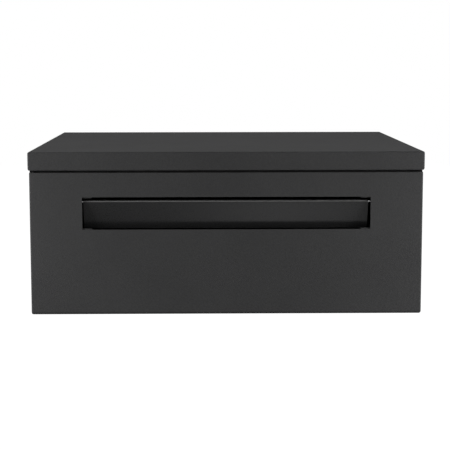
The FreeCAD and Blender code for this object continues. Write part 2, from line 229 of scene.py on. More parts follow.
# %% Floor paint
floor_paint = bpy.data.materials.new("pale_floor")
floor_paint.use_nodes = True
tree = floor_paint.node_tree
tree.nodes.clear()
chalk = put(tree, "ShaderNodeBsdfDiffuse", {"Color": (0.5, 0.5, 0.5, 1.0)})
coords = put(tree, "ShaderNodeTexCoord")
away = put(tree, "ShaderNodeVectorMath", operation="LENGTH")
fade_range = {"From Min": 1.3, "From Max": 2.4, "To Min": 0.45, "To Max": 0.85}
fade = put(tree, "ShaderNodeMapRange", fade_range)
eye = put(tree, "ShaderNodeLightPath")
glow = put(tree, "ShaderNodeEmission")
both = put(tree, "ShaderNodeAddShader")
surface = put(tree, "ShaderNodeOutputMaterial")
tree.links.new(coords.outputs["Object"], away.inputs[0])
tree.links.new(away.outputs["Value"], fade.inputs["Value"])
shown = maths(tree, "MULTIPLY", fade.outputs["Result"], eye.outputs["Is Camera Ray"])
tree.links.new(shown, glow.inputs["Strength"])
tree.links.new(chalk.outputs[0], both.inputs[0])
tree.links.new(glow.outputs[0], both.inputs[1])
tree.links.new(both.outputs[0], surface.inputs["Surface"])
floor_mesh.materials.append(floor_paint)
print("floor paint", floor_mesh.materials[0].name)

# %% [markdown]
# ## A small kit for finishes
#
# Every finish below starts the same way: a Principled shader and a few noise patterns on the
# piece's own Object coordinates, which are metres here. A pattern's scale is therefore easy to
# plan, since a grain of 1 mm needs a scale near 1000.


# %% Finish kit
def new_finish(name, **constants):
    """A material with a Principled shader whose fixed values are `constants`."""
    material = bpy.data.materials.new(name)
    material.use_nodes = True
    tree = material.node_tree
    shader = tree.nodes["Principled BSDF"]
    for socket, value in constants.items():
        shader.inputs[socket.replace("_", " ")].default_value = value
    return material, tree, shader


def grain(tree, size, detail=2.0, stretch=(1.0, 1.0, 1.0)):
    """Noise with grains about `size` metres across, and its 0 to 1 output."""
    coords = put(tree, "ShaderNodeTexCoord")
    mapping = put(tree, "ShaderNodeMapping", {"Scale": stretch})
    noise = put(tree, "ShaderNodeTexNoise", {"Scale": 1.0 / size, "Detail": detail})
    tree.links.new(coords.outputs["Object"], mapping.inputs["Vector"])
    tree.links.new(mapping.outputs["Vector"], noise.inputs["Vector"])
    return noise.outputs["Fac"]


print("a grain of 1 mm has the scale", round(1.0 / mm))

# %% [markdown]
# A noise pattern becomes something to see in three ways: as a range of roughness, as a colour
# between two tones, or as a small relief that only bends the light.


# %% From a pattern to a surface
def spread(tree, value, low, high):
    """Turn a noise value into the range from `low` to `high`."""
    sockets = {"From Min": 0.3, "From Max": 0.7, "To Min": low, "To Max": high}
    node = put(tree, "ShaderNodeMapRange", sockets)
    tree.links.new(value, node.inputs["Value"])
    return node.outputs["Result"]


def tone(tree, value, dark, light):
    """Turn a noise value into a colour between two tones."""
    ramp = put(tree, "ShaderNodeValToRGB")
    for stop, place, colour in zip(ramp.color_ramp.elements, (0.3, 0.7), (dark, light)):
        stop.position = place
        stop.color = (*colour, 1.0)
    tree.links.new(value, ramp.inputs["Fac"])
    return ramp.outputs["Color"]


def relief(tree, height, depth, below=None):
    """A bump `depth` metres deep, on top of the bump `below` if there is one."""
    bump = put(tree, "ShaderNodeBump", {"Strength": 1.0, "Distance": depth})
    tree.links.new(height, bump.inputs["Height"])
    if below is not None:
        tree.links.new(below, bump.inputs["Normal"])
    return bump.outputs["Normal"]


# %% [markdown]
# ## Powder coat
#
# Powder is sprayed on dry and melts in an oven. It never flows out flat: it keeps a fine grit of
# about half a millimetre on a softer orange peel of two or three. Over a whole panel the tone
# drifts a little. On a cut edge the coat pulls thin, so the edge is smoother and slightly
# lighter. The lighter tone on the eased edges is also a painted highlight, the same on every edge.
# The pieces carry an attribute that says where that tone is painted.

# %% Powder coat
drift_size, peel_size, grit_size = 70 * mm, 2.6 * mm, 0.6 * mm


def powder_coat(name, dark, light, thin_coat_highlight_tone, roughness, gloss, peel_depth, grit_depth):
    """Textured paint between two tones. `gloss` is the shader's specular level."""
    material, tree, shader = new_finish(name, Specular_IOR_Level=gloss)
    drift = grain(tree, drift_size, 4.0)
    peel = grain(tree, peel_size, 2.0)
    grit = grain(tree, grit_size, 3.0)
    mixed = put(tree, "ShaderNodeMix", {"Factor": 0.2}, data_type="FLOAT")
    tree.links.new(grit, mixed.inputs[2])
    tree.links.new(drift, mixed.inputs[3])
    paint = tone(tree, mixed.outputs[0], dark, light)
    # Marked faces take the lighter tone: on eased edges partly a thinner coat and partly a painted
    # highlight, on the flap's fold a painted highlight.
    edge = put(tree, "ShaderNodeAttribute", attribute_name="thin_coat_and_highlight")
    thin_coat_highlight_mix = put(tree, "ShaderNodeMix", data_type="RGBA")
    thin_coat_highlight_mix.inputs[7].default_value = (thin_coat_highlight_tone, thin_coat_highlight_tone, thin_coat_highlight_tone, 1.0)
    tree.links.new(edge.outputs["Fac"], thin_coat_highlight_mix.inputs[0])
    tree.links.new(paint, thin_coat_highlight_mix.inputs[6])
    tree.links.new(thin_coat_highlight_mix.outputs[2], shader.inputs["Base Color"])
    matt = spread(tree, grit, roughness - 0.06, roughness + 0.06)
    tree.links.new(matt, shader.inputs["Roughness"])
    soft = relief(tree, peel, peel_depth)
    tree.links.new(relief(tree, grit, grit_depth, soft), shader.inputs["Normal"])
    return material


print("grit", round(grit_size / mm, 1), "and peel", round(peel_size / mm, 1), "mm across")

# %% [markdown]
# The housing is a deep anthracite with a rough, matt grit, inside and out. The flap has a
# smoother and darker satin coat. Its eased edges and the fold along its top are painted much
# lighter, as a painted highlight.

# %% The coats
# The lighter tone on marked faces is partly a thinner coat, partly a painted highlight.
anthracite = {
    "dark": (0.027, 0.027, 0.0275), "light": (0.043, 0.043, 0.0435), "thin_coat_highlight_tone": 0.06,
    "roughness": 0.92, "gloss": 0.1, "peel_depth": 0.12 * mm, "grit_depth": 0.06 * mm}
# On the flap the much lighter tone of marked faces is a painted highlight.
satin = {
    "dark": (0.010, 0.010, 0.0103), "light": (0.014, 0.014, 0.0143), "thin_coat_highlight_tone": 0.075,
    "roughness": 0.30, "gloss": 0.30, "peel_depth": 0.04 * mm, "grit_depth": 0.008 * mm}
housing_coat = powder_coat("anthracite_powder", **anthracite)
satin_coat = powder_coat("satin_powder", **satin)
inside_coat = powder_coat("inside_powder", **anthracite)
print("coats", housing_coat.name, inside_coat.name, satin_coat.name)

# %% [markdown]
# ## Metals
#
# The small hardware isn't painted. Zinc plating is a cool grey with a faint mottle, drawn rod has
# fine lines along its length, and the lock is nickel with a soft shine. One function makes them
# all: a mottle for colour and roughness, and finer lines for the bump, stretched where the metal
# was drawn.


# %% Metals
def plated_metal(name, dark, light, roughness, mottle, depth, stretch=(1.0, 1.0, 1.0)):
    """Bare or plated metal with a mottle of size `mottle`, stretched for drawn metal."""
    material, tree, shader = new_finish(name, Metallic=1.0)
    patches = grain(tree, mottle, 3.0, stretch)
    lines = grain(tree, mottle / 4, 2.0, stretch)
    tree.links.new(tone(tree, patches, dark, light), shader.inputs["Base Color"])
    sheen = spread(tree, patches, roughness - 0.07, roughness + 0.07)
    tree.links.new(sheen, shader.inputs["Roughness"])
    tree.links.new(relief(tree, lines, depth), shader.inputs["Normal"])
    return material


zinc = plated_metal(
    "zinc_plate", (0.40, 0.42, 0.44), (0.60, 0.62, 0.64),
    roughness=0.38, mottle=3 * mm, depth=0.01 * mm)
drawn = plated_metal(
    "drawn_steel", (0.48, 0.48, 0.49), (0.66, 0.66, 0.67),
    roughness=0.28, mottle=1 * mm, depth=0.006 * mm, stretch=(0.03, 1.0, 1.0))
nickel = plated_metal(
    "nickel_plate", (0.42, 0.415, 0.40), (0.52, 0.515, 0.50),
    roughness=0.22, mottle=6 * mm, depth=0.002 * mm)
plug_metal = plated_metal(
    "nickel_brass", (0.36, 0.335, 0.29), (0.47, 0.445, 0.395),
    roughness=0.28, mottle=2 * mm, depth=0.004 * mm)
print("metals", zinc.name, drawn.name, nickel.name, plug_metal.name)

# %% [markdown]
# ## Rubber
#
# The strip under the lid is a dense black foam. It hardly shines, and its pores are about half a
# millimetre wide. The last lines say which finish belongs to which slot of the engineering model.


# %% Rubber and the list of finishes
def foam_rubber(name):
    """Black strip rubber with fine pores."""
    material, tree, shader = new_finish(name, Specular_IOR_Level=0.08)
    pores = grain(tree, 0.5 * mm, 3.0)
    cloud = grain(tree, 12 * mm, 2.0)
    black = tone(tree, cloud, (0.003, 0.003, 0.003), (0.006, 0.006, 0.006))
    tree.links.new(black, shader.inputs["Base Color"])
    tree.links.new(spread(tree, pores, 0.72, 0.9), shader.inputs["Roughness"])
    tree.links.new(relief(tree, pores, 0.06 * mm), shader.inputs["Normal"])
    return material


finish_of = {
    "powder_coat": housing_coat,
    "flap_coat": satin_coat,
    "inner_coat": inside_coat,
    "zinc_steel": zinc,
    "rod_steel": drawn,
    "lock_chrome": nickel,
    "plug_brass": plug_metal,
    "seal_rubber": foam_rubber("strip_rubber"),
}
print("finishes", len(finish_of))

# %% [markdown]
# ## Handing pieces over
#
# Every piece made here stands for one node of the engineering model. It takes that node's finish,
# rides on the same moving body and hides the plain node. Its sharp edges are eased first: real
# sheet is deburred before painting and the powder rounds it again. The eased faces are marked, and
# the paint gives them a lighter tone: partly a thinner coat, partly a painted highlight.

# %% Handing pieces over
slot_of_node = {part["node"]: part["material_slot"] for part in frame["record"]["subparts"]}
body_of_node = {name: node["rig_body"] for name, node in frame["nodes"].items()}
sharpest_bend = math.radians(40)


def close_gaps(work):
    """Write a bmesh out and read it in again.

    Easing removes faces, and faces that are added later would fill the gaps in an order that
    changes from run to run.
    """
    mesh = bpy.data.meshes.new("no_gaps")
    work.to_mesh(mesh)
    work.clear()
    work.from_mesh(mesh)


def ease_edges(work, ease):
    """Round every edge sharper than `sharpest_bend` by `ease` and mark the new faces."""
    # The new faces are marked for the paint's lighter tone, partly a thinner coat and partly a
    # painted highlight.
    thin_coat_and_highlight = work.faces.layers.float.new("thin_coat_and_highlight")
    sharp = [e for e in work.edges if e.is_manifold and e.calc_face_angle() > sharpest_bend]
    made = bmesh.ops.bevel(
        work, geom=sharp, offset=ease, offset_type="OFFSET", segments=2, profile=0.5,
        affect="EDGES", clamp_overlap=True)
    for face in made["faces"]:
        face[thin_coat_and_highlight] = 1.0
    close_gaps(work)


def hand_over(work, name, node):
    """Turn a bmesh into the piece that stands for a CAD node."""
    mesh = bpy.data.meshes.new(name)
    work.to_mesh(mesh)
    loose = sum(1 for edge in work.edges if not edge.is_manifold)
    work.free()
    slot = slot_of_node[node]
    mesh.materials.clear()
    mesh.materials.append(finish_of[slot])
    mesh.shade_smooth()
    piece = bpy.data.objects.new(name, mesh)
    bpy.context.scene.collection.objects.link(piece)
    weigh = piece.modifiers.new("flat_faces", "WEIGHTED_NORMAL")
    weigh.keep_sharp = True
    weigh.weight = 100
    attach(piece, body_of_node[node])
    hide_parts(node)
    print(name, len(mesh.polygons), "faces", loose, "open edges")


print("nodes to stand for", len(slot_of_node))

# %% [markdown]
# Folded sheet needs no new shape, only a finer one. A copy of the node is welded, its flat faces
# are merged, and its sharp edges are eased. Details such as weld marks join the same mesh.


# %% Easing a copy of a node
def eased(node, ease, name, extras=(), painted_highlight_faces=None):
    """A welded copy of a CAD node with eased edges, joined with the meshes in `extras`.

    The last argument picks further faces that get the eased edges' lighter tone as a painted
    highlight.
    """
    work = bmesh.new()
    work.from_mesh(frame["nodes"][node].data)
    bmesh.ops.remove_doubles(work, verts=work.verts, dist=0.001 * mm)
    flat = math.radians(0.5)
    bmesh.ops.dissolve_limit(work, angle_limit=flat, verts=work.verts, edges=work.edges)
    ease_edges(work, ease)
    thin_coat_and_highlight = work.faces.layers.float["thin_coat_and_highlight"]
    # Further picked faces get the same lighter tone, as a painted highlight.
    for face in work.faces:
        if painted_highlight_faces is not None and painted_highlight_faces(face):
            face[thin_coat_and_highlight] = 1.0
    for mesh in extras:
        work.from_mesh(mesh)
    hand_over(work, name, node)


print("folded sheet is told from a bend at", round(math.degrees(sharpest_bend)), "degrees")

# %% [markdown]
# ## Small trees for whatever repeats
#
# Hinge knuckles, weld marks, clip fingers, nut sides and threads all follow a rule, so Geometry
# Nodes makes them. Each tree starts from one well made unit and has a named input for each size.
# All of them end in real geometry, welded where two copies touch, with its finish set.

# %% Geometry Nodes kit
SOCKETS = {
    "Count": "Int", "Step": "Vector", "Radius": "Float", "Pitch": "Float", "Depth": "Float",
    "Flats": "Float", "Width": "Float", "Height": "Float", "Bead": "Float", "Lip": "Float"}


def new_tree(name, sizes):
    """A tree with geometry in and out, a finish, and a named input for each of `sizes`."""
    tree = bpy.data.node_groups.new(name, "GeometryNodeTree")
    tree.interface.new_socket("Geometry", in_out="INPUT", socket_type="NodeSocketGeometry")
    tree.interface.new_socket("Geometry", in_out="OUTPUT", socket_type="NodeSocketGeometry")
    tree.interface.new_socket("Finish", in_out="INPUT", socket_type="NodeSocketMaterial")
    for size in sizes:
        tree.interface.new_socket(size, in_out="INPUT", socket_type="NodeSocket" + SOCKETS[size])
    return tree, put(tree, "NodeGroupInput").outputs


def close_tree(tree, given, shape):
    """End a tree: real geometry instead of copies, touching points welded, finish set."""
    real = put(tree, "GeometryNodeRealizeInstances")
    weld = put(tree, "GeometryNodeMergeByDistance", {"Distance": 0.002 * mm})
    finish = put(tree, "GeometryNodeSetMaterial")
    out = put(tree, "NodeGroupOutput")
    tree.links.new(shape, real.inputs["Geometry"])
    tree.links.new(real.outputs["Geometry"], weld.inputs["Geometry"])
    tree.links.new(weld.outputs["Geometry"], finish.inputs["Geometry"])
    tree.links.new(given["Finish"], finish.inputs["Material"])
    tree.links.new(finish.outputs["Geometry"], out.inputs["Geometry"])


print("named inputs to choose from", len(SOCKETS))

# %% [markdown]
# A tree works as a modifier on a unit. Its inputs are set by their identifiers, the result is
# taken as a plain mesh, and the modifier goes away again.


# %% Growing a piece
def grow(tree, work, slot, **sizes):
    """Run a tree on a bmesh with its inputs set, and return the result as a bmesh."""
    start = bpy.data.meshes.new("unit")
    work.to_mesh(start)
    work.free()
    seed = bpy.data.objects.new("unit", start)
    bpy.context.scene.collection.objects.link(seed)
    shaper = seed.modifiers.new("shape", "NODES")
    shaper.node_group = tree
    inputs = [item for item in tree.interface.items_tree if item.in_out == "INPUT"]
    socket_of = {item.name: item.identifier for item in inputs}
    shaper[socket_of["Finish"]] = finish_of[slot]
    for name, value in sizes.items():
        shaper[socket_of[name]] = value
    ready = seed.evaluated_get(bpy.context.evaluated_depsgraph_get())
    mesh = bpy.data.meshes.new_from_object(ready)
    seed.modifiers.remove(shaper)
    bpy.data.objects.remove(seed)
    grown = bmesh.new()
    grown.from_mesh(mesh)
    return grown


# %% [markdown]
# The row tree draws a line of points and puts a copy of the unit on each. It sets out the weld
# marks and the hinge's knuckles. A loop could place copies too, but the tree keeps their number
# and their step as two named sizes.

# %% Row tree
row_tree, given = new_tree("row_of_copies", ["Count", "Step"])
line = put(row_tree, "GeometryNodeMeshLine", mode="OFFSET")
copies = put(row_tree, "GeometryNodeInstanceOnPoints")
row_tree.links.new(given["Count"], line.inputs["Count"])
row_tree.links.new(given["Step"], line.inputs["Offset"])
row_tree.links.new(line.outputs["Mesh"], copies.inputs["Points"])
row_tree.links.new(given["Geometry"], copies.inputs["Instance"])
close_tree(row_tree, given, copies.outputs["Instances"])
print("row tree with", len(row_tree.nodes), "nodes")

# %% [markdown]
# The ring tree puts all its points in the middle and turns each copy about the X axis by its share
# of a full turn. One side of a nut or one finger of a clip becomes the whole part.

# %% Ring tree
ring_tree, given = new_tree("ring_of_copies", ["Count"])
points = put(ring_tree, "GeometryNodePoints")
copies = put(ring_tree, "GeometryNodeInstanceOnPoints")
index = put(ring_tree, "GeometryNodeInputIndex")
share = maths(ring_tree, "DIVIDE", index.outputs[0], given["Count"])
turn = put(ring_tree, "ShaderNodeCombineXYZ")
ring_tree.links.new(maths(ring_tree, "MULTIPLY", share, 2 * math.pi), turn.inputs["X"])
ring_tree.links.new(given["Count"], points.inputs["Count"])
ring_tree.links.new(points.outputs[0], copies.inputs["Points"])
ring_tree.links.new(given["Geometry"], copies.inputs["Instance"])
ring_tree.links.new(turn.outputs[0], copies.inputs["Rotation"])
close_tree(ring_tree, given, copies.outputs["Instances"])
print("ring tree with", len(ring_tree.nodes), "nodes")

# %% [markdown]
# The thread tree looks at each point of a plain turned body. Where the point lies on the full
# radius it moves inward by an amount that rises and falls once per pitch and once per turn, which
# is just what a screw thread does. The first half of the tree finds that new radius.

# %% Thread tree: the new radius
thread_tree, given = new_tree("screw_thread", ["Radius", "Pitch", "Depth", "Flats"])
where = put(thread_tree, "GeometryNodeInputPosition")
split = put(thread_tree, "ShaderNodeSeparateXYZ")
thread_tree.links.new(where.outputs[0], split.inputs[0])
along, side, up = split.outputs


def solve(operation, *values):
    """A math node of the thread tree."""
    return maths(thread_tree, operation, *values)


angle = solve("ARCTAN2", up, side)
turns = solve("DIVIDE", angle, 2 * math.pi)
phase = solve("ADD", solve("DIVIDE", along, given["Pitch"]), turns)
wave = solve("PINGPONG", phase, 0.5)
drop = solve("MULTIPLY", solve("MULTIPLY", wave, 2.0), given["Depth"])
side_squared = solve("MULTIPLY", side, side)
up_squared = solve("MULTIPLY", up, up)
reach = solve("SQRT", solve("ADD", side_squared, up_squared))
just_under = solve("SUBTRACT", given["Radius"], 0.01 * mm)
skin = solve("GREATER_THAN", reach, just_under)
cut = solve("MULTIPLY", drop, skin)
new_reach = solve("SUBTRACT", reach, cut)
scale = solve("DIVIDE", new_reach, reach)
print("thread tree with", len(thread_tree.nodes), "nodes so far")

# %% [markdown]
# The second half moves the points. It also planes off two flats, as on a lock body, by keeping
# each point's height between plus and minus half the width over the flats.

# %% Thread tree: flats and new places
half_flats = solve("DIVIDE", given["Flats"], 2.0)
planed = solve("MINIMUM", solve("MULTIPLY", up, scale), half_flats)
planed = solve("MAXIMUM", planed, solve("MULTIPLY", half_flats, -1.0))
moved = put(thread_tree, "ShaderNodeCombineXYZ")
thread_tree.links.new(along, moved.inputs["X"])
thread_tree.links.new(solve("MULTIPLY", side, scale), moved.inputs["Y"])
thread_tree.links.new(planed, moved.inputs["Z"])
place = put(thread_tree, "GeometryNodeSetPosition")
thread_tree.links.new(given["Geometry"], place.inputs["Geometry"])
thread_tree.links.new(moved.outputs[0], place.inputs["Position"])
close_tree(thread_tree, given, place.outputs["Geometry"])
print("trees", [group.name for group in bpy.data.node_groups])

# %% [markdown]
# ## Turned and joined shapes
#
# Pins, rings, washers and lock heads come off a lathe. A turned shape is a list of stations, each
# an X and a radius, joined by rings of faces. A bored one closes back on its first station. The
# stations are given in millimetres, as a turner would, and made metres just before.


# %% Turned shapes
def in_metres(stations):
    """Stations given in millimetres."""
    return [(x * mm, radius * mm) for x, radius in stations]


def turned(stations, sides, bored=False):
    """Solid of revolution about the X axis through the origin."""
    work = bmesh.new()
    rings = []
    for x, radius in stations:
        count = sides if radius > 0 else 1
        angles = [2 * math.pi * i / sides for i in range(count)]
        corners = [(x, radius * math.cos(t), radius * math.sin(t)) for t in angles]
        rings.append([work.verts.new(corner) for corner in corners])
    pairs = list(zip(rings, rings[1:]))
    if bored:
        pairs.append((rings[-1], rings[0]))
    for first, second in pairs:
        for i in range(sides):
            j = (i + 1) % sides
            corners = [first[i % len(first)], first[j % len(first)]]
            corners += [second[j % len(second)], second[i % len(second)]]
            work.faces.new(list(dict.fromkeys(corners)))
    bmesh.ops.recalc_face_normals(work, faces=work.faces)
    return work


# %% [markdown]
# Every shape is made at the origin along X, then turned and moved to its place. Parts that form
# one node are joined into one mesh.


# %% Moving and joining
def shifted(work, x, y, z, turn=None):
    """Turn a bmesh about the origin if asked, then move it to its place."""
    if turn is not None:
        bmesh.ops.transform(work, matrix=turn, verts=work.verts)
    bmesh.ops.translate(work, vec=(x, y, z), verts=work.verts)
    return work


def joined(works):
    """One bmesh out of several."""
    whole = works[0]
    for work in works[1:]:
        mesh = bpy.data.meshes.new("part")
        work.to_mesh(mesh)
        work.free()
        whole.from_mesh(mesh)
    return whole


upright = Matrix.Rotation(math.radians(-90), 4, "Y")
facing_down = Matrix.Rotation(math.radians(90), 4, "Y")
facing_front = Matrix.Rotation(math.radians(-90), 4, "Z")
facing_inside = facing_front.inverted()
facing_left = Matrix.Rotation(math.radians(180), 4, "Z")
print("X axis turned up goes to", [round(v) for v in upright @ Vector((1.0, 0.0, 0.0))])

# %% [markdown]
# ## Spot welds
#
# The sheets aren't screwed together. A spot welder pinches them between two copper tips about
# every sixty millimetres, and each pinch leaves a shallow dish with a slightly raised rim. One
# mark is turned once, and the row tree sets it out along each seam: where the tray lies on the
# bottom flanges, where the back panel's flanges meet the sides, and along the hinge leaves.

# %% Spot welds
weld_dish = [(-0.3, 0), (-0.3, 2.4), (0.0, 2.9), (0.1, 2.5), (0.1, 2.2), (0.03, 1.8), (0.02, 0)]
dish_sides = 20


def weld_row(slot, count, start, step, turn=None):
    """A row of weld marks from `start`, in millimetres, as a mesh. They face +X until turned."""
    mark = turned(in_metres(weld_dish), dish_sides)
    if turn is not None:
        bmesh.ops.transform(mark, matrix=turn, verts=mark.verts)
    row = grow(row_tree, mark, slot, Count=count, Step=[part * mm for part in step])
    shifted(row, *[part * mm for part in start])
    mesh = bpy.data.meshes.new("extra")
    row.to_mesh(mesh)
    row.free()
    return mesh


print("a weld mark is", 2 * max(radius for x, radius in weld_dish), "mm wide")

# %% [markdown]
# The tray's marks lie on its upper face, one row along the front and one along each side. The
# back panel has a row on each side flange, and each bracket has two marks behind the front.

# %% Weld rows
tray_top = -78.1
tray_side_x, tray_side_step = 211.5, (0, 58, 0)
tray_welds = [
    weld_row("inner_coat", 7, (-195, -370.5, tray_top), (65, 0, 0), upright),
    weld_row("inner_coat", 6, (-tray_side_x, -330, tray_top), tray_side_step, upright),
    weld_row("inner_coat", 6, (tray_side_x, -330, tray_top), tray_side_step, upright)]
back_x, back_y, back_step = 217.3, -8.5, (0, 0, 36)
back_welds = [
    weld_row("powder_coat", 4, (back_x, back_y, -52), back_step, facing_left),
    weld_row("powder_coat", 4, (-back_x, back_y, -52), back_step)]
bracket_x, bracket_y, bracket_step = 171.5, -377.6, (0, 0, 39)
bracket_welds_right, bracket_welds_left = [
    [weld_row("inner_coat", 2, (x, bracket_y, 15), bracket_step, facing_inside)]
    for x in (bracket_x, -bracket_x)]
print("weld rows", len(tray_welds + back_welds + bracket_welds_right + bracket_welds_left))

# %% [markdown]
# ## The folded sheet pieces
#
# The housing shell, back panel, tray, lid, flap, brackets and catch are all cut and folded
# sheet, so one helper serves them all. Thick sheet takes a slightly larger ease than thin sheet.
# The fold along the top of the flap looks forward and up, and it is painted as a thin, lighter
# line: a painted highlight.


# %% Sheet pieces
def on_flap_fold(face):
    """Faces of the fold along the flap's top, which looks forward and up."""
    high = face.calc_center_median().z > 47.0 * mm
    return high and face.normal.y < -0.35 and face.normal.z > 0.0


eased("body_shell", 0.3 * mm, "housing_sheet")
eased("back_panel", 0.35 * mm, "back_sheet", back_welds)
eased("bottom_tray", 0.3 * mm, "tray_sheet", tray_welds)
eased("slot_bracket_right", 0.25 * mm, "bracket_sheet_right", bracket_welds_right)
eased("slot_bracket_left", 0.25 * mm, "bracket_sheet_left", bracket_welds_left)
# The fold faces that look forward and up get a painted highlight.
eased("slot_flap", 0.25 * mm, "flap_sheet", painted_highlight_faces=on_flap_fold)
eased("lid_shell", 0.25 * mm, "lid_sheet")
eased("lid_catch", 0.25 * mm, "catch_sheet")

# %% [markdown]
# The lock's cam, key plug and flat washer and the cam's screw already have their true outline in
# the engineering model. They need the same easing and their own metals, and no new shape.

# %% Small lock parts
eased("lock_cam", 0.3 * mm, "cam_blade")
eased("lock_plug", 0.15 * mm, "key_plug")
eased("lock_washer", 0.15 * mm, "lock_flat_washer")
eased("cam_screw", 0.35 * mm, "cam_fixing_screw")

# %% [markdown]
# ## The hinge
#
# A continuous hinge is two strips of sheet. Each strip has tabs, and every tab is rolled round a
# thin pin, so that the two rows of knuckles mesh like fingers. Its line and its length come from
# the engineering model. The other sizes are millimetres about the pin.


# %% Hinge sizes
def box_mm(node):
    """The lowest and the highest corner of a CAD node, in millimetres."""
    return [[round(part / mm, 2) for part in corner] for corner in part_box(node)]


def on_axis(joint, x=0.0):
    """The place at `x` on the line of a joint that turns about X, in metres."""
    pivot = {row["name"]: row["pos_m"] for row in frame["joints"]}[joint]
    return x, pivot[1], pivot[2]


hinge_half = box_mm("hinge_pin")[1][0]
knuckle_count = 11
pitch = 2 * hinge_half / knuckle_count
knuckle_gap = 0.4
sheet, curl_middle, plate_middle = 1.0, 2.05, 2.35
notch, strip_rear = -3.35, -20.0
print("hinge on", on_axis("lid_hinge"), "with knuckles every", round(pitch, 2), "mm")

# %% [markdown]
# The sheet comes in level, dips a little and runs round the pin until it nearly meets itself, and
# that leaves a seam. One tab is rolled here as a section pushed along the pin. A plain tube would
# be simpler, but it would hide that seam.

# %% The rolled section
curl_points, curl_step = 26, 12.2


def rolled_line():
    """The middle of the rolled sheet, from the strip round the pin."""
    line = [(notch - 0.3, plate_middle), (-2.4, 2.33), (-1.6, 2.27), (-0.8, 2.15)]
    for i in range(curl_points):
        angle = math.radians(90 - i * curl_step)
        line.append((curl_middle * math.cos(angle), curl_middle * math.sin(angle)))
    return [Vector(point) for point in line]


print("the sheet turns", round(curl_step * (curl_points - 1)), "degrees round the pin")

# %% [markdown]
# The section is that line with half the sheet's thickness on either side. It is pushed along the
# pin by one tab's width.


# %% One knuckle
def knuckle():
    """One rolled tab, starting at X = 0, in millimetres about the pin."""
    middle_line = rolled_line()
    outside = []
    inside = []
    for i, point in enumerate(middle_line):
        before = middle_line[max(i - 1, 0)]
        after = middle_line[min(i + 1, len(middle_line) - 1)]
        run = (after - before).normalized()
        across = Vector((-run.y, run.x)) * (sheet / 2)
        outside.append(point + across)
        inside.append(point - across)
    work = bmesh.new()
    outline = outside + inside[::-1]
    low = [work.verts.new((0.0, p.x, p.y)) for p in outline]
    high = [work.verts.new((pitch - knuckle_gap, p.x, p.y)) for p in outline]
    last = len(middle_line) - 1
    for ring in (low, high):
        for i in range(last):
            work.faces.new([ring[i], ring[i + 1], ring[2 * last - i], ring[2 * last + 1 - i]])
    for i in range(len(outline)):
        j = (i + 1) % len(outline)
        work.faces.new([low[i], low[j], high[j], high[i]])
    bmesh.ops.recalc_face_normals(work, faces=work.faces)
    return work


print("a knuckle is", round(pitch - knuckle_gap, 2), "mm wide")

# %% [markdown]
# A leaf is its strip, a row of knuckles at twice the pitch and the welds that fix it. Both leaves
# are made the same way. The lid's lies level. The body's stands upright, which is the same leaf
# with depth and height exchanged, and its faces are turned the right way out again.


# %% Hinge leaves
def slab(low, high):
    """Box between two corners."""
    work = bmesh.new()
    bmesh.ops.create_cube(work, size=1.0)
    size = [high[i] - low[i] for i in range(3)]
    bmesh.ops.scale(work, vec=size, verts=work.verts)
    return shifted(work, *[(high[i] + low[i]) / 2 for i in range(3)])


def weld_marks_below(count, step, y, z):
    """Weld marks on the underside of a leaf, in millimetres."""
    mark = turned(weld_dish, dish_sides)
    bmesh.ops.transform(mark, matrix=facing_down, verts=mark.verts)
    row = grow(row_tree, mark, "inner_coat", Count=count, Step=(step, 0, 0))
    return shifted(row, -step * (count - 1) / 2, y, z)


def hinge_leaf(first, count, swap, name, node):
    """A leaf with `count` knuckles from place `first`, stood upright if `swap`, in place."""
    start = -hinge_half + first * pitch + knuckle_gap / 2
    roll = shifted(knuckle(), start, 0, 0)
    row = grow(row_tree, roll, "inner_coat", Count=count, Step=(2 * pitch, 0, 0))
    under, over = plate_middle - sheet / 2, plate_middle + sheet / 2
    strip = slab((-hinge_half, strip_rear, under), (hinge_half, notch, over))
    leaf = joined([strip, row])
    ease_edges(leaf, 0.12)
    leaf = joined([leaf, weld_marks_below(9, 50.0, -13.0, under)])
    if swap:
        for vert in leaf.verts:
            vert.co = Vector((vert.co.x, vert.co.z, vert.co.y))
        bmesh.ops.reverse_faces(leaf, faces=leaf.faces)
    bmesh.ops.scale(leaf, vec=(mm, mm, mm), verts=leaf.verts)
    hand_over(shifted(leaf, *on_axis("lid_hinge")), name, node)


lid_knuckles = knuckle_count // 2
body_knuckles = knuckle_count - lid_knuckles
hinge_leaf(1, lid_knuckles, False, "lid_leaf", "hinge_lid_leaf")
hinge_leaf(0, body_knuckles, True, "body_leaf", "hinge_body_leaf")

# %% [markdown]
# The pin is drawn wire, cut off and rounded at both ends. Only half its stations are written
# down, because the other end mirrors them.

# %% Hinge pin
pin = [
    (-hinge_half, 0), (-hinge_half, 0.7), (-hinge_half + 0.2, 1.15), (-hinge_half + 0.6, 1.42),
    (-hinge_half + 1.2, 1.5)]
pin += [(-x, radius) for x, radius in pin[::-1]]
pin_shape = turned(in_metres(pin), 32)
hand_over(shifted(pin_shape, *on_axis("lid_hinge")), "hinge_axle", "hinge_pin")

# %% [markdown]
# ## The cam lock
#
# The lock body is a turned and threaded sleeve with two flats that stop it turning in the side
# wall. The sleeve starts as a plain tube with six rings of points per turn of the thread, which
# is just enough for the thread tree to shape its crests. The tree also planes the flats.

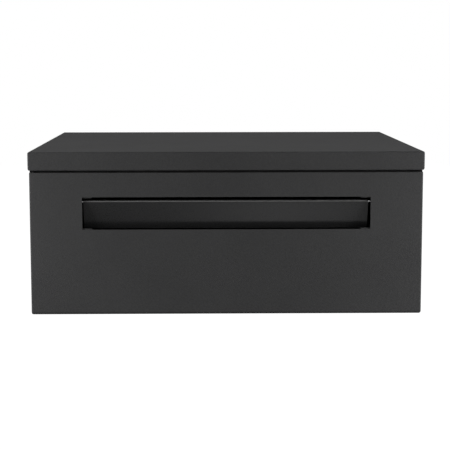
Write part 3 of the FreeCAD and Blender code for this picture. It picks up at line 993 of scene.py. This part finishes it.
# %% Lock sleeve
barrel_low = box_mm("lock_barrel")[0][0]
head_low = box_mm("lock_gasket")[1][0]
bore, thread_radius, thread_pitch = 6.05, 9.5, 1.0
thread_start = barrel_low + 0.6
rings_per_turn = 6
steps = int((head_low - thread_start) * rings_per_turn / thread_pitch)
sleeve = [(barrel_low, bore), (barrel_low, 8.9)]
sleeve += [(thread_start + i * thread_pitch / rings_per_turn, thread_radius) for i in range(steps)]
sleeve += [(head_low, thread_radius), (head_low, bore)]
sleeve_shape = grow(
    thread_tree, turned(in_metres(sleeve), 48, bored=True), "lock_chrome",
    Radius=thread_radius * mm, Pitch=thread_pitch * mm, Depth=0.55 * mm, Flats=16.0 * mm)
print("lock thread with", steps, "rings of points")

# %% [markdown]
# The head is the part that shows outside. It has a bevelled rim and a shallow ring round the key
# plug. Both are turned, so they are stations of one profile.

# %% Lock head
head = [
    (head_low, bore), (head_low, 11.3), (head_low + 0.2, 11.5), (head_low + 1.8, 11.5),
    (head_low + 2.3, 11.3), (head_low + 2.75, 10.6), (head_low + 3.0, 9.7), (head_low + 3.0, 7.3),
    (head_low + 2.9, 7.1), (head_low + 2.6, 6.95), (head_low + 2.6, 6.4),
    (head_low + 2.5, bore + 0.1), (head_low + 2.3, bore)]
head_shape = turned(in_metres(head), 72, bored=True)
lock_shape = joined([sleeve_shape, head_shape])
hand_over(shifted(lock_shape, *on_axis("lock_turn")), "lock_head", "lock_barrel")

# %% [markdown]
# ## Nuts
#
# A nut is cut from hexagon bar and its corners are turned off at thirty degrees, which leaves a
# round chamfer that rises and falls from corner to corner. So one sixth is laid out with a
# chamfer that deepens towards its corners, and the ring tree makes it whole.

# %% One side of a nut
columns_per_side, chamfer_slope = 9, math.tan(math.radians(30))


def nut_side(apothem, corner, hole, height):
    """One sixth of a nut from X = 0 to `height`, with its flat towards +Y, in metres."""
    chamfer_circle = 0.95 * apothem
    ease = 0.12 * (apothem - hole)
    columns = []
    work = bmesh.new()
    for i in range(columns_per_side):
        angle = math.radians(-30 + 60 / (columns_per_side - 1) * i)
        reach = min(apothem / math.cos(angle), corner)
        drop = (reach - chamfer_circle) * chamfer_slope
        stations = [
            (ease, hole), (0, hole + ease), (0, chamfer_circle), (drop, reach),
            (height - drop, reach), (height, chamfer_circle), (height, hole + ease),
            (height - ease, hole)]
        turn_y, turn_z = math.cos(angle), math.sin(angle)
        columns.append([work.verts.new((x, r * turn_y, r * turn_z)) for x, r in stations])
    for first, second in zip(columns, columns[1:]):
        for i in range(len(first)):
            j = (i + 1) % len(first)
            work.faces.new([first[i], second[i], second[j], first[j]])
    return work


print("columns round a nut", 6 * (columns_per_side - 1))

# %% [markdown]
# Six sides make a nut. A nut stops wherever it is tight, so its turn is given as well.


# %% Whole nuts
def nut(apothem, corner, hole, height, turn):
    """A whole nut along X, turned about X by `turn` degrees."""
    whole = grow(ring_tree, nut_side(apothem, corner, hole, height), "zinc_steel", Count=6)
    bmesh.ops.recalc_face_normals(whole, faces=whole.faces)
    spin = Matrix.Rotation(math.radians(turn), 4, "X")
    bmesh.ops.transform(whole, matrix=spin, verts=whole.verts)
    return whole


lock_nut = nut(apothem=12.0 * mm, corner=13.44 * mm, hole=9.6 * mm, height=5.0 * mm, turn=30)
nut_start = box_mm("lock_nut")[0][0] * mm
hand_over(shifted(lock_nut, *on_axis("lock_turn", nut_start)), "lock_hex_nut", "lock_nut")

# %% [markdown]
# ## Lock ring and washer
#
# A thin rubber ring seals the head against the side wall, and a flat washer lies under the cam's
# screw. Both are rings with rounded rims: the rubber bulges softly where it is squeezed, and the
# washer has the small edge radius of a stamped part.

# %% Lock ring and washer
seal_ring = [
    (220.0, 9.7), (220.0, 10.85), (220.1, 10.97), (220.25, 11.0), (220.55, 11.0), (220.7, 10.97),
    (220.8, 10.85), (220.8, 9.7), (220.7, 9.6), (220.1, 9.6)]
seal_shape = turned(in_metres(seal_ring), 72, bored=True)
hand_over(shifted(seal_shape, *on_axis("lock_turn")), "lock_seal_ring", "lock_gasket")
flat_ring = [
    (198.8, 2.3), (198.8, 4.3), (198.85, 4.42), (199.0, 4.5), (199.4, 4.5), (199.55, 4.42),
    (199.6, 4.3), (199.6, 2.3), (199.5, 2.2), (198.9, 2.2)]
ring_shape = turned(in_metres(flat_ring), 40, bored=True)
hand_over(shifted(ring_shape, *on_axis("lock_turn")), "cam_flat_washer", "cam_washer")

# %% [markdown]
# ## Studs and nuts of the catch
#
# Two threaded studs are welded to the underside of the lid and carry the catch, so that the lid's
# top stays free of screw heads. Both have the same thread and the same nut. The stud is a plain
# rod with a cone at its free end, and the thread tree cuts it as it cut the lock body.

# %% Catch hardware
stud_x, stud_ys = 196.6, (-344.0, -335.0)
stud_low, nut_low = box_mm("catch_studs")[0][2], box_mm("catch_nuts")[0][2]
stud_length, stud_pitch, stud_radius, cone = 8.0, 0.7, 2.0, 0.45
stud = [(0, 0), (0, 1.45), (cone, stud_radius)]
steps = int((stud_length - 1.2) * rings_per_turn / stud_pitch)
stud += [(cone + i * stud_pitch / rings_per_turn, stud_radius) for i in range(1, steps)]
stud += [(stud_length, stud_radius), (stud_length, 0)]
studs = []
nuts = []
for stud_y in stud_ys:
    shape = grow(
        thread_tree, turned(in_metres(stud), 32), "zinc_steel",
        Radius=stud_radius * mm, Pitch=stud_pitch * mm, Depth=0.4 * mm, Flats=6.0 * mm)
    studs.append(shifted(shape, stud_x * mm, stud_y * mm, stud_low * mm, upright))
    shape = nut(apothem=3.5 * mm, corner=4.04 * mm, hole=2.01 * mm, height=3.2 * mm, turn=0)
    nuts.append(shifted(shape, stud_x * mm, stud_y * mm, nut_low * mm, upright))
hand_over(joined(studs), "lid_weld_studs", "catch_studs")
hand_over(joined(nuts), "stud_hex_nuts", "catch_nuts")

# %% [markdown]
# ## The flap's rod
#
# The flap swings on a drawn steel rod with rounded ends. The clips bite into it a little, so a
# shallow groove runs round the rod where each clip sits.

# %% Flap rod
rod_end = box_mm("flap_rod")[1][0]
rod_half = [
    (-rod_end, 0), (-rod_end, 0.95), (-rod_end + 0.4, 1.38), (-rod_end + 0.7, 1.5),
    (-165.95, 1.5), (-165.8, 1.43), (-165.6, 1.43), (-165.45, 1.5)]
rod_stations = rod_half + [(-x, radius) for x, radius in rod_half[::-1]]
rod_shape = turned(in_metres(rod_stations), 36)
hand_over(shifted(rod_shape, *on_axis("flap_hinge")), "flap_axle", "flap_rod")

# %% [markdown]
# ## The push-on clips
#
# A clip holds each end of the rod: a thin ring stamped with six fingers that lean outward and
# bite into the rod. One finger with its share of the rim is laid out as a flat patch, the ring
# tree repeats it six times, and the whole is then thickened to the clip's sheet.

# %% Clips
clip_face, clip_sheet, finger_step = 165.0, 0.4, 10
clip_rows = [(4.0, 0.0, 3), (3.4, 0.0, 3), (3.0, 0.05, 3), (2.3, 0.32, 2), (1.52, 0.6, 2)]


def clip_finger():
    """One sixth of a push-on clip as a flat patch round X, in metres."""
    work = bmesh.new()
    before = None
    for radius, lean, reach in clip_rows:
        row = {}
        for i in range(-reach, reach + 1):
            angle = math.radians(finger_step * i)
            place = (lean * mm, radius * mm * math.cos(angle), radius * mm * math.sin(angle))
            row[i] = work.verts.new(place)
        if before is not None:
            for i in range(-reach, reach):
                work.faces.new([before[i], before[i + 1], row[i + 1], row[i]])
        before = row
    return work


def thickened(flat, thickness):
    """A solid sheet from a flat patch: the patch, its copy further along X, and the rims."""
    work = bmesh.new()
    near = [work.verts.new(vert.co) for vert in flat.verts]
    far = [work.verts.new(vert.co + Vector((thickness, 0, 0))) for vert in flat.verts]
    flat.verts.index_update()
    for face in flat.faces:
        ring = [vert.index for vert in face.verts]
        work.faces.new([near[i] for i in ring])
        work.faces.new([far[i] for i in ring[::-1]])
    for edge in flat.edges:
        if edge.is_boundary:
            i, j = [vert.index for vert in edge.verts]
            work.faces.new([near[i], near[j], far[j], far[i]])
    flat.free()
    return work


def push_clip(side):
    """A clip on the rod's end. `side` is 1 on the right and -1 on the left."""
    patch = grow(ring_tree, clip_finger(), "zinc_steel", Count=6)
    clip = thickened(patch, clip_sheet * mm)
    bmesh.ops.translate(clip, vec=(clip_face * mm, 0, 0), verts=clip.verts)
    bmesh.ops.scale(clip, vec=(side, 1, 1), verts=clip.verts)
    bmesh.ops.recalc_face_normals(clip, faces=clip.faces)
    return shifted(clip, *on_axis("flap_hinge"))


clips = joined([push_clip(1), push_clip(-1)])
ease_edges(clips, 0.06 * mm)
hand_over(clips, "rod_push_clips", "rod_clips")

# %% [markdown]
# ## The rubber strip
#
# A strip of self-adhesive rubber lies on the rim, so that rain can't creep in under the lid. Two
# soft beads run along its top, and a thicker lip along its outer edge folds over the rim's bend,
# so that no light shows between the two. The tree's inputs are the strip's width and height and
# the radii of bead and lip. Its first half draws the section from closed curves.

# %% Strip tree: the section
strip_tree, given = new_tree("strip_on_path", ["Width", "Height", "Bead", "Lip"])
strip_links = strip_tree.links
section = put(strip_tree, "GeometryNodeCurvePrimitiveQuadrilateral")
soft_section = put(strip_tree, "GeometryNodeFilletCurve", {"Count": 3}, mode="POLY")
bead = put(strip_tree, "GeometryNodeCurvePrimitiveCircle", {"Resolution": 12})
bead_height = maths(strip_tree, "DIVIDE", given["Height"], -2.0)
all_sections = put(strip_tree, "GeometryNodeJoinGeometry")


def place_curve(curve, x, y):
    """Move a closed curve to `x` and `y` of the section and add it to the others."""
    spot = put(strip_tree, "ShaderNodeCombineXYZ")
    strip_links.new(x, spot.inputs["X"])
    strip_links.new(y, spot.inputs["Y"])
    placed = put(strip_tree, "GeometryNodeTransform")
    strip_links.new(curve.outputs["Curve"], placed.inputs["Geometry"])
    strip_links.new(spot.outputs[0], placed.inputs["Translation"])
    strip_links.new(placed.outputs["Geometry"], all_sections.inputs[0])


for share in (-0.25, 0.25):
    place_curve(bead, maths(strip_tree, "MULTIPLY", given["Width"], share), bead_height)
lip = put(strip_tree, "GeometryNodeCurvePrimitiveCircle", {"Resolution": 16})
outer_edge = maths(strip_tree, "MULTIPLY", given["Width"], -0.5)
lip_x = maths(strip_tree, "ADD", outer_edge, given["Lip"])
place_curve(lip, lip_x, maths(strip_tree, "MULTIPLY", given["Height"], 0.42))
strip_links.new(given["Lip"], lip.inputs["Radius"])
strip_links.new(given["Bead"], bead.inputs["Radius"])
strip_links.new(given["Width"], section.inputs["Width"])
strip_links.new(given["Height"], section.inputs["Height"])
corner_radius = maths(strip_tree, "MULTIPLY", given["Height"], 0.25)
strip_links.new(corner_radius, soft_section.inputs["Radius"])
strip_links.new(section.outputs["Curve"], soft_section.inputs["Curve"])
strip_links.new(soft_section.outputs["Curve"], all_sections.inputs[0])
print("strip tree with", len(strip_tree.nodes), "nodes so far")

# %% [markdown]
# The second half turns the path into a curve that stays level and pushes the section along it.

# %% Strip tree: along the path
path = put(strip_tree, "GeometryNodeMeshToCurve")
level_path = put(strip_tree, "GeometryNodeSetCurveNormal", mode="Z_UP")
swept = put(strip_tree, "GeometryNodeCurveToMesh", {"Fill Caps": True})
strip_links.new(given["Geometry"], path.inputs["Mesh"])
strip_links.new(path.outputs["Curve"], level_path.inputs["Curve"])
strip_links.new(level_path.outputs["Curve"], swept.inputs["Curve"])
strip_links.new(all_sections.outputs["Geometry"], swept.inputs["Profile Curve"])
close_tree(strip_tree, given, swept.outputs["Mesh"])
print("strip tree with", len(strip_tree.nodes), "nodes")

# %% [markdown]
# The strip is laid in one length along the left side, the front and the right side. Its middle
# line lies 1.5 mm inside the outer edge of the engineering model's strip. The path has a point
# just before and just after each front corner, which keeps the turn short.

# %% Rim strip
seal_low, seal_high = box_mm("rim_seal")
edge_to_middle, turn_room = 1.5, 3.2
side_x = seal_high[0] - edge_to_middle
front_y = seal_low[1] + edge_to_middle
rear_y, rim_z = seal_high[1], seal_low[2]
strip_width, strip_height, bead_radius, lip_radius = 6.0, 1.25, 0.45, 0.8
route = [
    (side_x, rear_y), (side_x, front_y + turn_room), (side_x, front_y),
    (side_x - turn_room, front_y)]
route += [(-x, y) for x, y in route[::-1]]
track = bmesh.new()
track_z = (rim_z + strip_height / 2) * mm
stops = [track.verts.new((x * mm, y * mm, track_z)) for x, y in route]
for first, second in zip(stops, stops[1:]):
    track.edges.new([first, second])
strip = grow(
    strip_tree, track, "seal_rubber",
    Width=strip_width * mm, Height=strip_height * mm, Bead=bead_radius * mm, Lip=lip_radius * mm)
bmesh.ops.recalc_face_normals(strip, faces=strip.faces)
hand_over(strip, "rim_strip", "rim_seal")
corners = bpy.data.objects["rim_strip"].bound_box
print("strip from", [round(v / mm, 2) for v in corners[0]])
print("strip to", [round(v / mm, 2) for v in corners[6]])
